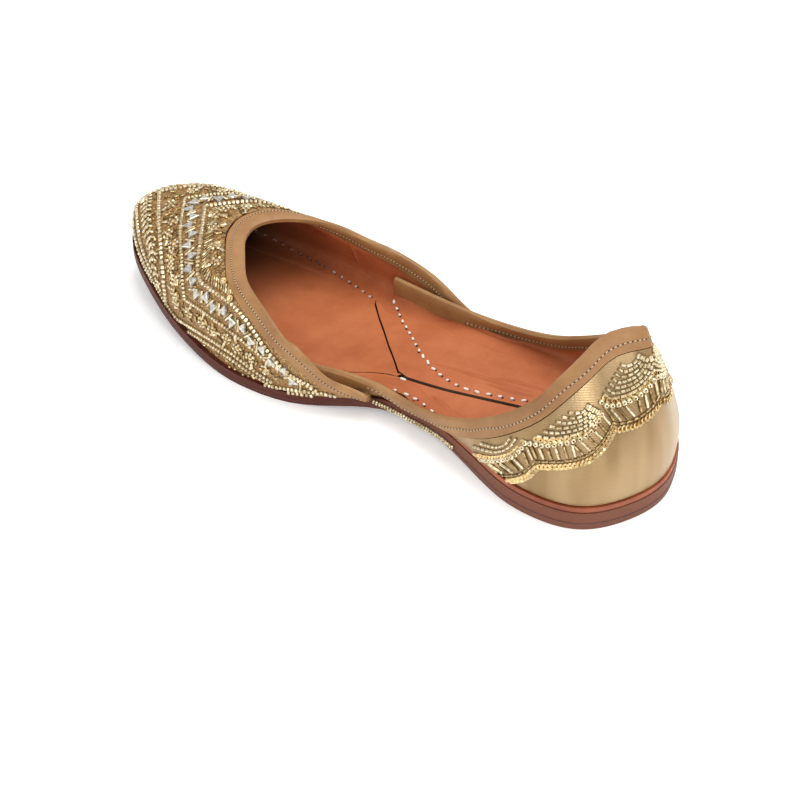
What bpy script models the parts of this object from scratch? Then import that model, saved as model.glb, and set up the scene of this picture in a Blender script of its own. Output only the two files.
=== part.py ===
"""A mojari for the right foot: thin leather sole, embroidered vamp, low satin quarter.

The toe points to +X, the wearer's left (the inner side of this foot) is +Y, and the floor is
Z = 0. All tables measure from the back of the heel; the finished shoe is then moved so that
the middle of its plan is at the origin.
"""
import bpy
import bmesh
import numpy as np

# Driving sizes in metres
LENGTH = 0.236            # outsole, heel to toe
BALL_WIDTH = 0.0790       # outsole at its widest
HEEL_WIDTH = 0.0680       # outsole at the heel
THROAT_HEIGHT = 0.0380    # front of the throat above the floor
BACK_HEIGHT = 0.0690      # peak of the quarter above the floor
TOE_SPRING = 0.0170       # toe's underside above the floor
LIFT_THICK = 0.0027       # second layer under the heel
OUTSOLE_THICK = 0.0044
RAND_THICK = 0.0019       # strip between the outsole and the quarter
FOOTBED_THICK = 0.0016
WALL = 0.0020             # fabric and lining of the upper
QUARTER_BINDING = 0.0068   # width of the folded leather on the outer face
VAMP_BINDING = 0.0060
BINDING_PROUD = 0.0004    # how far the binding stands out of the wall, on each side
GAP = 0.0003              # between pieces that touch
SLIT = 0.0016             # between the two rear lining flaps
SEAM = 0.0009             # between the flaps and the footbed in front of them
SEAT_CLEAR = 0.0012       # footbed's edge to the wall
WING_STEP = 0.0030        # vamp's face outside the quarter's, where it laps over
WING_SPREAD = 0.0020      # how much further out the vamp's top edge stands there
WELT_THICK = 0.0011       # strip that fills the foot between the quarter and the wing

# Shares of LENGTH where the sole changes
HEEL_FLAT_END = 0.24
LIFT_END = 0.37
RAND_SKIVE = 0.28         # from here to its end the rand gets thinner
RAND_END = 0.42
TREAD_START = 0.575
TREAD_END = 0.655
WELT_START = 0.468
WELT_END = 0.545
WING_FADE = (0.54, 0.66)          # vamp's foot comes back in from over the quarter
TUCK = (0.385, 0.445)             # quarter's foot goes in under the wing
FOOTBED_TUCK = (0.355, 0.41, 0.60, 0.66)   # footbed is narrower between these
UPRIGHT = 0.11            # share of a wall's height that stands upright at its foot

# Sole outline. at: share of LENGTH; inner and outer: share of the local width
SOLE_COLUMNS = ("at", "inner", "outer")
SOLE_SECTIONS = (
    (0.000, 0.000, 0.000),
    (0.013, 0.201, 0.201),
    (0.030, 0.316, 0.316),
    (0.055, 0.415, 0.415),
    (0.090, 0.476, 0.476),
    (0.136, 0.500, 0.500),
    (0.182, 0.490, 0.495),
    (0.233, 0.438, 0.478),
    (0.284, 0.375, 0.456),
    (0.339, 0.322, 0.435),
    (0.400, 0.307, 0.415),
    (0.453, 0.343, 0.404),
    (0.504, 0.420, 0.403),
    (0.572, 0.508, 0.416),
    (0.627, 0.541, 0.432),
    (0.678, 0.548, 0.446),
    (0.729, 0.533, 0.440),
    (0.780, 0.503, 0.397),
    (0.831, 0.462, 0.333),
    (0.898, 0.386, 0.247),
    (0.947, 0.316, 0.170),
    (0.980, 0.238, 0.078),
    (1.000, 0.089, -0.089),
)

# Foot of the upper, outside (+) or inside (-) the sole's edge, in shares of WALL
FOOT_COLUMNS = ("at", "inner", "outer")
FOOT_SECTIONS = (
    (0.00, -0.50, -0.50),
    (0.20, -0.50, -0.50),
    (0.28, 0.40, -0.10),
    (0.36, 1.15, 0.30),
    (0.44, 1.05, 0.30),
    (0.52, 0.20, 0.00),
    (0.60, -0.60, -0.60),
    (0.75, -0.90, -0.90),
    (1.00, -0.90, -0.90),
)

# Quarter. foot and top: shares of LENGTH; across: share of HEEL_WIDTH; up: share of BACK_HEIGHT;
# bulge: share of WALL. The first row is the inner front tip, the last the outer one.
QUARTER_COLUMNS = ("side", "foot", "top", "across", "up", "bulge")
QUARTER_SECTIONS = (
    (1, 0.555, 0.553, 0.490, 0.217, 0.2),
    (1, 0.500, 0.500, 0.434, 0.212, 0.2),
    (1, 0.449, 0.449, 0.398, 0.206, 0.3),
    (1, 0.390, 0.390, 0.390, 0.206, 0.7),
    (1, 0.335, 0.335, 0.412, 0.226, 0.9),
    (1, 0.282, 0.284, 0.432, 0.290, 0.9),
    (1, 0.230, 0.237, 0.450, 0.384, 0.8),
    (1, 0.176, 0.192, 0.450, 0.500, 0.7),
    (1, 0.120, 0.150, 0.425, 0.636, 0.6),
    (1, 0.075, 0.130, 0.380, 0.735, 0.5),
    (1, 0.045, 0.115, 0.310, 0.818, 0.5),
    (1, 0.024, 0.103, 0.222, 0.892, 0.5),
    (1, 0.007, 0.089, 0.115, 0.953, 0.4),
    (0, 0.000, 0.062, 0.000, 0.968, 0.4),
    (-1, 0.007, 0.075, 0.106, 0.895, 0.4),
    (-1, 0.024, 0.094, 0.200, 0.800, 0.5),
    (-1, 0.045, 0.111, 0.272, 0.720, 0.5),
    (-1, 0.078, 0.130, 0.322, 0.648, 0.5),
    (-1, 0.120, 0.153, 0.366, 0.576, 0.6),
    (-1, 0.176, 0.190, 0.408, 0.476, 0.7),
    (-1, 0.230, 0.237, 0.426, 0.376, 0.8),
    (-1, 0.278, 0.280, 0.434, 0.306, 0.8),
    (-1, 0.322, 0.322, 0.434, 0.266, 0.7),
    (-1, 0.364, 0.364, 0.434, 0.240, 0.5),
    (-1, 0.411, 0.411, 0.424, 0.228, 0.3),
    (-1, 0.475, 0.475, 0.416, 0.222, 0.2),
    (-1, 0.530, 0.530, 0.412, 0.226, 0.2),
    (-1, 0.580, 0.580, 0.410, 0.229, 0.2),
)

# Vamp. across: share of BALL_WIDTH, to the inner side; up: share of THROAT_HEIGHT; full: power
# of the section's superellipse. The first row is the inner wing's tip, the last the outer one's.
VAMP_COLUMNS = ("side", "foot", "top", "across", "up", "full", "bulge")
VAMP_SECTIONS = (
    (1, 0.448, 0.448, 0.362, 0.250, 1.1, 0.2),
    (1, 0.464, 0.464, 0.388, 0.300, 1.1, 0.3),
    (1, 0.484, 0.486, 0.424, 0.362, 1.2, 0.4),
    (1, 0.508, 0.508, 0.460, 0.460, 1.3, 0.5),
    (1, 0.538, 0.534, 0.486, 0.620, 1.5, 0.5),
    (1, 0.576, 0.572, 0.484, 0.763, 1.7, 0.5),
    (1, 0.627, 0.617, 0.454, 0.855, 1.9, 0.5),
    (1, 0.680, 0.661, 0.408, 0.921, 2.1, 0.4),
    (1, 0.742, 0.695, 0.346, 0.961, 2.3, 0.3),
    (1, 0.814, 0.727, 0.247, 0.987, 2.5, 0.2),
    (1, 0.898, 0.750, 0.171, 1.000, 2.8, 0.1),
    (1, 0.960, 0.762, 0.108, 1.000, 3.2, 0.2),
    (0, 1.000, 0.768, 0.038, 0.996, 3.4, 0.4),
    (-1, 0.955, 0.764, -0.030, 0.990, 3.2, 0.3),
    (-1, 0.898, 0.755, -0.097, 0.967, 2.4, 0.1),
    (-1, 0.839, 0.737, -0.175, 0.928, 1.7, -0.1),
    (-1, 0.784, 0.709, -0.247, 0.882, 1.3, -0.2),
    (-1, 0.720, 0.675, -0.303, 0.820, 1.1, -0.2),
    (-1, 0.661, 0.636, -0.338, 0.752, 1.1, -0.1),
    (-1, 0.606, 0.597, -0.372, 0.678, 1.1, 0.1),
    (-1, 0.555, 0.552, -0.390, 0.580, 1.2, 0.3),
    (-1, 0.513, 0.513, -0.390, 0.510, 1.3, 0.5),
    (-1, 0.475, 0.475, -0.383, 0.405, 1.2, 0.4),
    (-1, 0.445, 0.447, -0.381, 0.325, 1.1, 0.3),
    (-1, 0.428, 0.428, -0.380, 0.285, 1.1, 0.2),
)

# Seam lines of the footbed, across as a share of BALL_WIDTH to the inner side
SEAM_COLUMNS = ("at", "across")
SLIT_LINE = (
    (0.000, 0.000),
    (0.190, -0.020),
    (0.245, 0.006),
    (0.300, 0.062),
    (0.353, 0.104),
    (0.440, 0.154),
    (1.000, 0.154),
)
INNER_EDGE = (
    (0.440, 0.154),
    (0.470, 0.168),
    (0.503, 0.218),
    (0.535, 0.270),
    (0.640, 0.620),
    (0.641, 9.000),
)
OUTER_EDGE = (
    (0.440, 0.154),
    (0.477, 0.056),
    (0.508, -0.019),
    (0.540, -0.103),
    (0.570, -0.176),
    (0.600, -0.255),
    (0.640, -0.500),
    (0.641, -9.000),
)

ROUND_STEPS = 72          # sections along a sheet
FLAP_STEPS = 40
WELT_STEPS = 24
ACROSS_STEPS = 3
WALL_STEPS = 8
VAMP_STEPS = 60
QUARTER_STEPS = 72


def column(table, names, name):
    return np.array([row[names.index(name)] for row in table], float)


def closed_spline(knots, values, span):
    """Periodic cubic through values at knots; returns a function of the same parameter."""
    step = np.diff(np.append(knots, knots[0] + span))
    count = len(knots)
    matrix = np.zeros((count, count))
    right = np.zeros(count)
    slope = np.diff(np.append(values, values[0])) / step
    for i in range(count):
        matrix[i, i - 1] = step[i - 1]
        matrix[i, i] = 2 * (step[i - 1] + step[i])
        matrix[i, (i + 1) % count] = step[i]
        right[i] = 6 * (slope[i] - slope[i - 1])
    bend = np.linalg.solve(matrix, right)

    def at(t):
        t = (np.asarray(t, float) - knots[0]) % span + knots[0]
        i = np.clip(np.searchsorted(knots, t, side="right") - 1, 0, count - 1)
        h, j = step[i], (i + 1) % count
        a = (knots[i] + h - t) / h
        b = 1 - a
        cubic = ((a**3 - a) * bend[i] + (b**3 - b) * bend[j]) * h**2 / 6
        return a * values[i] + b * values[j] + cubic

    return at


def open_spline(values):
    """Natural cubic through evenly spaced values; the parameter runs from 0 to 1."""
    values = np.asarray(values, float)
    count = len(values)
    matrix = np.eye(count)
    right = np.zeros(count)
    for i in range(1, count - 1):
        matrix[i, i - 1:i + 2] = (1, 4, 1)
        right[i] = 6 * (values[i - 1] - 2 * values[i] + values[i + 1])
    bend = np.linalg.solve(matrix, right)

    def at(t):
        place = np.clip(np.asarray(t, float), 0, 1) * (count - 1)
        i = np.minimum(place.astype(int), count - 2)
        b = place - i
        a = 1 - b
        cubic = ((a**3 - a) * bend[i] + (b**3 - b) * bend[i + 1]) / 6
        return a * values[i] + b * values[i + 1] + cubic

    return at


def ease(value, start, end):
    """0 before start, 1 after end, smooth between."""
    t = np.clip((value - start) / (end - start), 0, 1)
    return t * t * (3 - 2 * t)


# Sole outline: an angle runs from the toe's outer side (-pi) over the heel (0) to the toe (pi)
def turn_of(at, side):
    """Angle of the outline point at a share of LENGTH, on the inner (+1) or outer (-1) side."""
    return side * np.arccos(np.clip(1 - 2 * np.asarray(at, float), -1, 1))


def local_width(at):
    return HEEL_WIDTH + (BALL_WIDTH - HEEL_WIDTH) * ease(at, 0.20, 0.60)


def outline_function():
    at = column(SOLE_SECTIONS, SOLE_COLUMNS, "at")
    inner = column(SOLE_SECTIONS, SOLE_COLUMNS, "inner") * local_width(at)
    outer = -column(SOLE_SECTIONS, SOLE_COLUMNS, "outer") * local_width(at)
    knots = np.concatenate([turn_of(at[:0:-1], -1), turn_of(at[:-1], 1)])
    values = np.concatenate([outer[:0:-1], inner[:-1]])
    return closed_spline(knots, values, 2 * np.pi)


outline_y = outline_function()


def sole_edge(turn, outset=0.0):
    """Point of the sole's edge in plan, moved outwards by outset."""
    turn = np.asarray(turn, float)
    small = 1e-4

    def plain(t):
        return np.stack([LENGTH * (1 - np.cos(t)) / 2, outline_y(t)], axis=-1)

    along = plain(turn + small) - plain(turn - small)
    along /= np.linalg.norm(along, axis=-1, keepdims=True)
    out = np.stack([-along[..., 1], along[..., 0]], axis=-1)
    return plain(turn) + out * np.asarray(outset, float)[..., None]


def edge_y(x, side, outset=0.0):
    """Across position of the moved sole edge at a distance x from the heel."""
    turns = side * np.linspace(0, np.pi, 400)
    points = sole_edge(turns, np.full(turns.shape, outset))
    return np.interp(x, points[:, 0], points[:, 1])


def outsole_low(x):
    """Underside of the outsole: raised on the lift, down at the tread, up at the toe."""
    at = np.asarray(x, float) / LENGTH
    raised = (LIFT_THICK + GAP) * (1 - ease(at, RAND_END, TREAD_START))
    spring = TOE_SPRING * np.clip((at - TREAD_END) / (1 - TREAD_END), 0, None) ** 1.8
    return raised + spring


def outsole_high(x):
    return outsole_low(x) + OUTSOLE_THICK


def rand_thick(x):
    return RAND_THICK * (1 - 0.8 * ease(np.asarray(x, float) / LENGTH, RAND_SKIVE, RAND_END))


def seat_high(x):
    """Top of what carries the quarter and the footbed: the rand, or the outsole in front."""
    at = np.asarray(x, float) / LENGTH
    return outsole_high(x) + (GAP + rand_thick(x)) * (1 - ease(at, RAND_END + 0.005, RAND_END + 0.06))


# Walls of the upper
def foot_outset(turn):
    at = (1 - np.cos(turn)) / 2
    stations = column(FOOT_SECTIONS, FOOT_COLUMNS, "at")
    inner = np.interp(at, stations, column(FOOT_SECTIONS, FOOT_COLUMNS, "inner"))
    outer = np.interp(at, stations, column(FOOT_SECTIONS, FOOT_COLUMNS, "outer"))
    return WALL * np.where(np.asarray(turn) > 0, inner, outer)


def section_functions(table, names, width, height):
    """Each column of a wall's table as a smooth function of the way along the wall."""
    side = column(table, names, "side")
    turns = turn_of(column(table, names, "foot"), np.where(side == 0, 1, side))
    if names is VAMP_COLUMNS:
        turns = np.where(turns < 0, turns + 2 * np.pi, turns)
    across = column(table, names, "across") * width
    if names is QUARTER_COLUMNS:
        across = across * side
    functions = {
        "turn": open_spline(turns),
        "x": open_spline(column(table, names, "top") * LENGTH),
        "y": open_spline(across),
        "z": open_spline(column(table, names, "up") * height),
        "bulge": open_spline(column(table, names, "bulge") * WALL),
    }
    if "full" in names:
        functions["full"] = open_spline(column(table, names, "full"))
    return functions


quarter = section_functions(QUARTER_SECTIONS[::-1], QUARTER_COLUMNS, HEEL_WIDTH, BACK_HEIGHT)
vamp = section_functions(VAMP_SECTIONS, VAMP_COLUMNS, BALL_WIDTH, THROAT_HEIGHT)


def wing(t):
    """1 where the vamp laps over the quarter, 0 over the forefoot."""
    at = (1 - np.cos(vamp["turn"](t))) / 2
    return 1 - ease(at, *WING_FADE)


def upper_share(v):
    """Share of the way up a wall that may lean: its foot stands upright on the sole."""
    return np.clip((v - UPRIGHT) / (1 - UPRIGHT), 0, 1)


def quarter_wall(t, v):
    """Outer face of the quarter: t from the outer tip to the inner one, v from foot to top."""
    turn = quarter["turn"](t)
    at = (1 - np.cos(turn)) / 2
    foot = sole_edge(turn, foot_outset(turn) - WING_STEP * ease(at, *TUCK))
    out = sole_edge(turn, np.ones_like(turn)) - sole_edge(turn)
    top = np.stack([quarter["x"](t), quarter["y"](t)], axis=-1)
    low = seat_high(foot[..., 0]) + GAP * 1.5
    swell = quarter["bulge"](t) * 4 * v * (1 - v)
    plan = foot + (top - foot) * (upper_share(v)**1.5)[..., None] + out * swell[..., None]
    return np.concatenate([plan, (low + (quarter["z"](t) - low) * v)[..., None]], axis=-1)


def vamp_wall(t, v):
    """Outer face of the vamp: t from the inner wing over the toe to the outer wing."""
    turn = vamp["turn"](t)
    turn = np.where(turn > np.pi, turn - 2 * np.pi, turn)
    foot = sole_edge(turn, foot_outset(turn))
    out = sole_edge(turn, np.ones_like(turn)) - sole_edge(turn)
    top = np.stack([vamp["x"](t), vamp["y"](t)], axis=-1)
    low = seat_high(foot[..., 0]) + GAP
    power = 2 / vamp["full"](t)
    inward = 1 - np.clip(np.cos(upper_share(v) * np.pi / 2), 0, 1) ** power
    rise = np.sin(v * np.pi / 2) ** power
    swell = vamp["bulge"](t) * 4 * rise * (1 - rise) + WING_SPREAD * wing(t) * rise
    plan = foot + (top - foot) * inward[..., None] + out * swell[..., None]
    return np.concatenate([plan, (low + (vamp["z"](t) - low) * rise)[..., None]], axis=-1)


def binding_start(wall, t, width, share_left):
    """Where along v the binding begins, so that it is as wide as asked on the face."""
    v = np.linspace(0, 1, 60)
    lines = wall(np.repeat(t[:, None], v.size, 1), np.repeat(v[None], t.size, 0))
    steps = np.linalg.norm(np.diff(lines, axis=1), axis=2)
    to_top = np.concatenate([np.cumsum(steps[:, ::-1], axis=1)[:, ::-1], np.zeros((t.size, 1))], axis=1)
    start = np.array([np.interp(-width, -row, v) for row in to_top])
    room = to_top[:, 0]
    short = 1 - ease(room, width * 0.8, width * 1.6)
    starts = np.maximum(start, share_left)
    return starts, np.minimum(GAP * (1.2 + 0.6 * short) / np.maximum(room, 1e-4), starts / 2)


def face_out(wall, t, v):
    """Unit normal of a wall, pointing out of the shoe."""
    small = 1e-3
    along = wall(np.clip(t + small, 0, 1), v) - wall(np.clip(t - small, 0, 1), v)
    up = wall(t, np.clip(v + small, 0, 1)) - wall(t, np.clip(v - small, 0, 1))
    normal = np.cross(up, along)
    return normal / np.linalg.norm(normal, axis=-1, keepdims=True)


# Blender objects
def make_material(name, colour, roughness, metallic=0.0):
    material = bpy.data.materials.new(name)
    material.use_nodes = True
    shader = material.node_tree.nodes["Principled BSDF"]
    shader.inputs["Base Color"].default_value = (*colour, 1.0)
    shader.inputs["Roughness"].default_value = roughness
    shader.inputs["Metallic"].default_value = metallic
    return material


def add_object(name, bm, collection, material, closed=False):
    bmesh.ops.recalc_face_normals(bm, faces=bm.faces[:])
    if closed and bm.calc_volume(signed=True) < 0:
        bmesh.ops.reverse_faces(bm, faces=bm.faces[:])
    mesh = bpy.data.meshes.new(name)
    bm.to_mesh(mesh)
    bm.free()
    mesh.materials.append(material)
    mesh.shade_smooth()
    mesh.set_sharp_from_angle(angle=0.6)
    item = bpy.data.objects.new(name, mesh)
    collection.objects.link(item)
    return item


def slab(name, collection, material, span, right, left, low, high, steps=ROUND_STEPS):
    """Closed sheet between two side lines and two height lines, all functions of x."""
    bm = bmesh.new()
    bmesh.ops.create_grid(bm, x_segments=steps, y_segments=ACROSS_STEPS, size=0.5)
    start, end = span
    for vert in bm.verts:
        x = start + (end - start) * (1 - np.cos(np.pi * (vert.co.x + 0.5))) / 2
        share = vert.co.y + 0.5
        vert.co = (x, right(x) * (1 - share) + left(x) * share, low(x))
    raised = bmesh.ops.extrude_face_region(bm, geom=bm.faces[:])
    for item in raised["geom"]:
        if isinstance(item, bmesh.types.BMVert):
            item.co.z = high(item.co.x)
    bmesh.ops.remove_doubles(bm, verts=bm.verts[:], dist=1e-6)
    bmesh.ops.dissolve_degenerate(bm, edges=bm.edges[:], dist=1e-6)
    return add_object(name, bm, collection, material, closed=True)


def shell(name, collection, material, wall, steps, width, share_left):
    """Open sheet of a wall below its binding, thickened inwards."""
    bm = bmesh.new()
    bmesh.ops.create_grid(bm, x_segments=steps, y_segments=WALL_STEPS, size=0.5)
    places = np.array([vert.co[:] for vert in bm.verts]) + 0.5
    t = places[:, 0]
    tops, gaps = binding_start(wall, t, width, share_left)
    points = wall(t, places[:, 1] * (tops - gaps))
    for vert, point in zip(bm.verts, points):
        vert.co = point
    item = add_object(name, bm, collection, material)
    solid = item.modifiers.new("Wall", "SOLIDIFY")
    solid.thickness = WALL
    solid.offset = -1.0 if faces_out(item.data, wall, t, places[:, 1] * tops) else 1.0
    solid.use_even_offset = True
    return item


def faces_out(mesh, wall, t, v):
    """True when the sheet's first face looks the way its wall does."""
    face = mesh.polygons[0]
    corner = face.vertices[0]
    side = face_out(wall, t[corner:corner + 1], np.clip(v[corner:corner + 1], 0.01, 0.99))[0]
    return float(np.dot(side, face.normal)) > 0


def binding(name, collection, material, wall, steps, width, share_left):
    """Leather folded over a wall's top edge: a rounded strip swept along that edge."""
    t = np.linspace(0, 1, steps + 1)
    starts, _ = binding_start(wall, t, width, share_left)
    half = WALL / 2 + BINDING_PROUD
    rings = []
    for share in (0.0, 0.5, 1.0):
        v = starts + (1 - starts) * share
        face = wall(t, v)
        rings.append((face, face_out(wall, t, np.clip(v, 0.01, 0.99))))
    up = rings[2][0] - rings[1][0]
    up /= np.linalg.norm(up, axis=1, keepdims=True)
    outline = [(0, 1), (1, 1), (2, 1), (2, 0.45), (2, -0.45), (2, -1), (1, -1), (0, -1)]
    lift = {0.45: half * 0.75, -0.45: half * 0.75}
    bm = bmesh.new()
    loops = []
    for i in range(t.size):
        loop = []
        for ring, side in outline:
            face, normal = rings[ring][0][i], rings[ring][1][i]
            centre = face - normal * (WALL / 2)
            point = centre + normal * half * side + up[i] * lift.get(side, 0.0)
            loop.append(bm.verts.new(point))
        loops.append(loop)
    for near, far in zip(loops, loops[1:]):
        for i in range(len(near)):
            j = (i + 1) % len(near)
            bm.faces.new((near[i], near[j], far[j], far[i]))
    bm.faces.new(loops[0])
    bm.faces.new(loops[-1])
    return add_object(name, bm, collection, material, closed=True)


def seam(line):
    at = column(line, SEAM_COLUMNS, "at") * LENGTH
    across = column(line, SEAM_COLUMNS, "across") * BALL_WIDTH
    return lambda x: np.interp(x, at, across)


def build():
    for item in list(bpy.data.objects):
        bpy.data.objects.remove(item)
    parts = bpy.data.collections.new("Mojari")
    cutters = bpy.data.collections.new("Cutters")
    for collection in (parts, cutters):
        bpy.context.scene.collection.children.link(collection)

    sole_leather = make_material("sole_leather", (0.17, 0.08, 0.055), 0.55)
    lift_leather = make_material("lift_leather", (0.27, 0.15, 0.12), 0.6)
    rand_leather = make_material("rand_leather", (0.38, 0.12, 0.04), 0.5)
    satin = make_material("satin", (0.49, 0.34, 0.16), 0.45)
    binding_leather = make_material("binding_leather", (0.45, 0.24, 0.10), 0.5)
    footbed_leather = make_material("footbed_leather", (0.52, 0.17, 0.07), 0.4)

    def full(side, outset=0.0):
        return lambda x: edge_y(x, side, outset)

    outsole = slab("outsole", parts, sole_leather, (0.0, LENGTH), full(-1), full(1), outsole_low,
                   outsole_high)

    def lift_low(x):
        share = np.clip((x / LENGTH - HEEL_FLAT_END) / (LIFT_END - HEEL_FLAT_END), 0, 1)
        return (LIFT_THICK - 0.0005) * share

    slab("heel_lift", parts, lift_leather, (0.0003, LIFT_END * LENGTH), full(-1, -0.0003),
         full(1, -0.0003), lift_low, lambda x: LIFT_THICK)

    def rand_low(x):
        return outsole_high(x) + GAP

    slab("rand", parts, rand_leather, (0.0003, RAND_END * LENGTH), full(-1, -0.0003),
         full(1, -0.0003), rand_low, lambda x: rand_low(x) + rand_thick(x))

    quarter_shell = shell("upper", parts, satin, quarter_wall, QUARTER_STEPS, QUARTER_BINDING, 0.22)
    vamp_shell = shell("vamp_shell", cutters, satin, vamp_wall, VAMP_STEPS, VAMP_BINDING, 0.35)
    vamp_shell.hide_render = True
    vamp_shell.display_type = "WIRE"
    joined = quarter_shell.modifiers.new("Vamp", "BOOLEAN")
    joined.operation = "UNION"
    joined.object = vamp_shell
    joined.solver = "MANIFOLD"

    def welt_line(side, outset):
        return lambda x: edge_y(x, side, outset + np.interp(x / LENGTH, *welt_feet[side]))

    turns = np.linspace(turn_of(WELT_START, 1), turn_of(WELT_END, 1), 30)
    welt_feet = {side: ((1 - np.cos(turns)) / 2, foot_outset(side * turns)) for side in (-1, 1)}
    for side, name in ((1, "inner_welt"), (-1, "outer_welt")):
        lines = [welt_line(side, -WALL / 2), welt_line(side, -WING_STEP - WALL / 2)]
        strip = slab(name, cutters, satin, (WELT_START * LENGTH, WELT_END * LENGTH), lines[side > 0],
                     lines[side < 0], lambda x: seat_high(x) + GAP, lambda x: seat_high(x) + WELT_THICK,
                     steps=WELT_STEPS)
        strip.hide_render = True
        strip.display_type = "WIRE"
        bridged = quarter_shell.modifiers.new(name, "BOOLEAN")
        bridged.operation = "UNION"
        bridged.object = strip
        bridged.solver = "MANIFOLD"

    binding("quarter_binding", parts, binding_leather, quarter_wall, QUARTER_STEPS, QUARTER_BINDING, 0.22)
    binding("vamp_binding", parts, binding_leather, vamp_wall, VAMP_STEPS, VAMP_BINDING, 0.35)

    inset = -(WALL * 1.5 + SEAT_CLEAR)

    def footbed_edge(side):
        """Side line of the footbed, further in where the quarter is tucked under the vamp."""
        def line(x):
            at = x / LENGTH
            tucked = WING_STEP * ease(at, *FOOTBED_TUCK[:2]) * (1 - ease(at, *FOOTBED_TUCK[2:]))
            return edge_y(x, side, inset) - side * tucked
        return line

    inner_side, outer_side = footbed_edge(1), footbed_edge(-1)
    slit, inner_seam, outer_seam = seam(SLIT_LINE), seam(INNER_EDGE), seam(OUTER_EDGE)
    apex = INNER_EDGE[0][0] * LENGTH

    def footbed_low(x):
        return seat_high(x) + GAP

    def footbed_high(x):
        return footbed_low(x) + FOOTBED_THICK

    def front_right(x):
        return max(outer_side(x), float(outer_seam(x)) + SEAM / 2)

    def front_left(x):
        return min(inner_side(x), float(inner_seam(x)) - SEAM / 2)

    near_apex = np.linspace(apex, apex + 10 * SLIT, 200)
    start = near_apex[np.argmax([front_left(x) > front_right(x) for x in near_apex])]
    slab("insole", parts, footbed_leather, (start, LENGTH + inset - SEAT_CLEAR), front_right, front_left,
         footbed_low, footbed_high)

    def inner_flap_right(x):
        return float(slit(x) + SLIT / 2 if x < apex else inner_seam(x) + SEAM / 2)

    def outer_flap_left(x):
        return float(slit(x) - SLIT / 2 if x < apex else outer_seam(x) - SEAM / 2)

    def tip(line, outer_line, side):
        """Where a flap's seam line meets the flap's outer edge."""
        x = np.linspace(apex, INNER_EDGE[-1][0] * LENGTH, 300)
        room = side * np.array([outer_line(each) - line(each) for each in x])
        return x[np.argmax(room < 0)] if np.any(room < 0) else x[-1]

    slab("flap_left", parts, footbed_leather, (-inset, tip(inner_flap_right, inner_side, 1)),
         lambda x: min(inner_flap_right(x), inner_side(x)), inner_side, footbed_low, footbed_high,
         steps=FLAP_STEPS)
    slab("flap_right", parts, footbed_leather, (-inset, tip(outer_flap_left, outer_side, -1)), outer_side,
         lambda x: max(outer_flap_left(x), outer_side(x)), footbed_low, footbed_high, steps=FLAP_STEPS)

    across = [vert.co.y for vert in outsole.data.vertices]
    for item in (*parts.objects, *cutters.objects):
        item.location = (-LENGTH / 2, -(min(across) + max(across)) / 2, 0.0)


build()
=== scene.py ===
"""Looks of an embroidered mojari, a flat leather-soled slipper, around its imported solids.

Lines of the embroidery are picture positions of the near side. Each one is followed down the
camera's ray onto the upper, and the outer side repeats it in the shoe's mirror plane.
"""
import math
import random

import bpy
import bmesh
import numpy as np
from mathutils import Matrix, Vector
from mathutils.bvhtree import BVHTree


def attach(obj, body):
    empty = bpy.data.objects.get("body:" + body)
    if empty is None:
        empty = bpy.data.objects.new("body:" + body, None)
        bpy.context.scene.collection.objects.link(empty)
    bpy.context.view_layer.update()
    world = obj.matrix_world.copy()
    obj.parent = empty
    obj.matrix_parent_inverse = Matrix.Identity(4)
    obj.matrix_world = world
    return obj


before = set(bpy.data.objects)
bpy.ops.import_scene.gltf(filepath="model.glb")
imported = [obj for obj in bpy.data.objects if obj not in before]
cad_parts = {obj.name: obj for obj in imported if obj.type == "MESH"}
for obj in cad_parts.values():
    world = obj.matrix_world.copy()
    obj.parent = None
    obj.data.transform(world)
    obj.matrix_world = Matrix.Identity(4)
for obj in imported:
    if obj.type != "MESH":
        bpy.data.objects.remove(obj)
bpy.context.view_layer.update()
MM = 0.001
random.seed(7)

# Camera of the photograph, in degrees, metres and picture units
PICTURE = 800
VIEW_TURN = 38.5
VIEW_RISE = 40.0
VIEW_DISTANCE = 0.611
VIEW_TARGET = Vector((-0.0258, 0.0225, 0.0141))
FOCAL_PIXELS = 1744.7
SENSOR = 36.0

# Embroidery of the vamp, picture positions from the toe's far side to the near wing
TOE_ROWS = (
    ((130.5, 206), (130.5, 214), (131, 224), (133, 236), (136, 248), (140, 260), (145, 271),
     (150, 281)),
    ((134, 203), (134, 214), (135, 226), (137, 238), (140, 250), (144, 261), (149, 272),
     (154, 281)),
    ((138, 201), (138, 214), (139, 226), (141, 238), (144, 249), (148, 260), (153, 271)),
)
LEAF_LINE = (
    (147, 197), (147, 210), (147, 224), (150, 236), (153, 246), (154, 262), (157, 275),
    (159, 286),
)
FIRST_LINE = ((160, 191), (159.4, 218), (162, 247), (165, 278), (168, 306))
SECOND_LINE = ((185, 200), (181, 224), (181, 245), (183, 263), (184, 289), (186, 300))
SECOND_LEG = (
    (186, 300), (195, 305), (215, 319), (235, 334), (253, 348), (270, 363), (290, 374),
    (312, 385),
)
THIRD_LINE = ((206.5, 199), (204, 218), (201, 242), (198.5, 259), (198.5, 280))
THIRD_LEG = (
    (198.5, 280), (213.7, 291), (233, 304), (247, 320), (260, 339), (275, 359), (292, 376),
    (316, 389),
)
EDGE_LINE = ((170, 308), (174, 313), (179, 319))
LOWER_LEGS = (
    ((179, 319), (200, 332), (220, 344), (240, 358), (256, 371), (272, 381)),
    ((183, 327), (200, 338), (220, 350), (240, 364), (254, 374), (268, 382)),
)
SOLE_LEGS = (
    ((194, 341), (206, 350), (228, 367), (252, 380), (280, 387.5), (320, 392), (345, 396)),
    ((196, 345), (208, 354), (229, 370), (253, 383), (280, 390.5), (312, 394.5)),
    ((199, 350), (212, 360), (232, 374), (254, 386), (280, 393.5)),
)
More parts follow.
